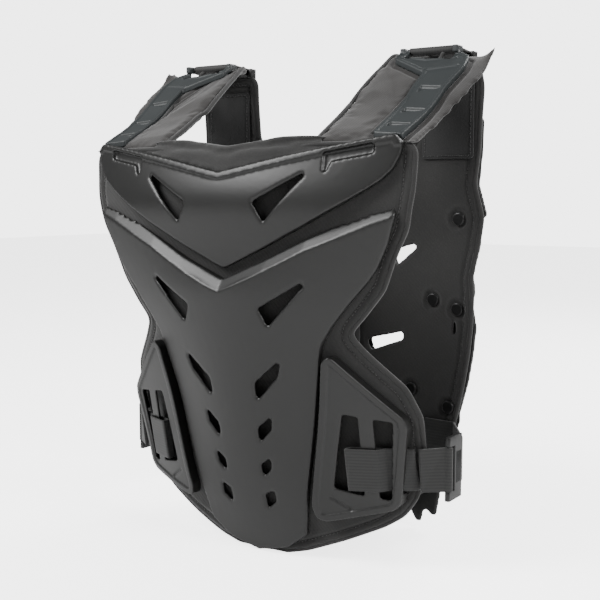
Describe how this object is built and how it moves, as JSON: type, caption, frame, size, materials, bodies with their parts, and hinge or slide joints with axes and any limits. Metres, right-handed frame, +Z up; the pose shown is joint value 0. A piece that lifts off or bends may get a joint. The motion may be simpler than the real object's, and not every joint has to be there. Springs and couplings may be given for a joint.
{
  "type": "chest protector",
  "caption": "Body armour vest of moulded shells on padded front and back panels, joined over the shoulders and closed by webbing side straps with buckles.",
  "frame": {"origin": "middle of the footprint, on the floor, with the vest standing upright on its front hem and its tail", "axes": "+Z up, -Y the way the chest faces, +X the wearer's left"},
  "size_m": [0.4, 0.2439, 0.497],
  "materials": {
    "armour_shell": "satin moulded polyethylene with rolled edges",
    "insert_rubber": "moulded soft rubber, satin",
    "hardware_plastic": "moulded acetal",
    "webbing": "woven elastic webbing",
    "liner_fabric": "knitted polyester over foam",
    "mesh_lining": "spacer mesh over foam",
    "hook_and_loop": "looped pile, stitched round the edge",
    "rivets": "pressed snap rivets"
  },
  "bodies": {
    "front": {"front_liner": "liner_fabric", "front_foam_pad": "mesh_lining", "neck_binding": "liner_fabric", "upper_chest_plate": "armour_shell", "lower_chest_plate": "armour_shell", "side_plate_left": "armour_shell", "strap_loop_left": "webbing", "shoulder_pad_left": "liner_fabric", "shoulder_insert_left": "insert_rubber", "shoulder_link_left": "webbing", "side_plate_right": "armour_shell", "strap_loop_right": "webbing", "shoulder_pad_right": "liner_fabric", "shoulder_insert_right": "insert_rubber", "shoulder_link_right": "webbing"},
    "back": {"back_liner": "liner_fabric", "back_spine_pad": "mesh_lining", "upper_back_shell": "armour_shell", "middle_back_shell": "armour_shell", "lower_back_shell": "armour_shell", "tail_back_shell": "armour_shell", "upper_back_rivets": "rivets", "middle_back_rivets": "rivets", "lower_back_rivets": "rivets", "hook_patch_left": "hook_and_loop", "shoulder_anchor_left": "hardware_plastic", "side_tab_left": "webbing", "hook_patch_right": "hook_and_loop", "shoulder_anchor_right": "hardware_plastic", "side_tab_right": "webbing"},
    "strap_left": {"side_strap_left": "webbing"},
    "buckle_left": {"buckle_left": "hardware_plastic"},
    "strap_right": {"side_strap_right": "webbing"},
    "buckle_right": {"buckle_right": "hardware_plastic"}
  },
  "joints": [
    {"name": "back_swing", "type": "hinge", "parent": "front", "child": "back", "pos_m": [0, 0.08623, 0.48999], "axis": [1, 0, 0], "range_deg": [0, 70]},
    {"name": "strap_swing_left", "type": "hinge", "parent": "front", "child": "strap_left", "pos_m": [0.1655, -0.03494, 0.10099], "axis": [0, 0, -1], "range_deg": [0, 60]},
    {"name": "buckle_tilt_left", "type": "hinge", "parent": "strap_left", "child": "buckle_left", "pos_m": [0.187, -0.01425, 0.10099], "axis": [0, 0, -1], "range_deg": [0, 70]},
    {"name": "strap_swing_right", "type": "hinge", "parent": "front", "child": "strap_right", "pos_m": [-0.1655, -0.03494, 0.10099], "axis": [0, 0, 1], "range_deg": [0, 60]},
    {"name": "buckle_tilt_right", "type": "hinge", "parent": "strap_right", "child": "buckle_right", "pos_m": [-0.187, -0.01425, 0.10099], "axis": [0, 0, 1], "range_deg": [0, 70]}
  ]
}
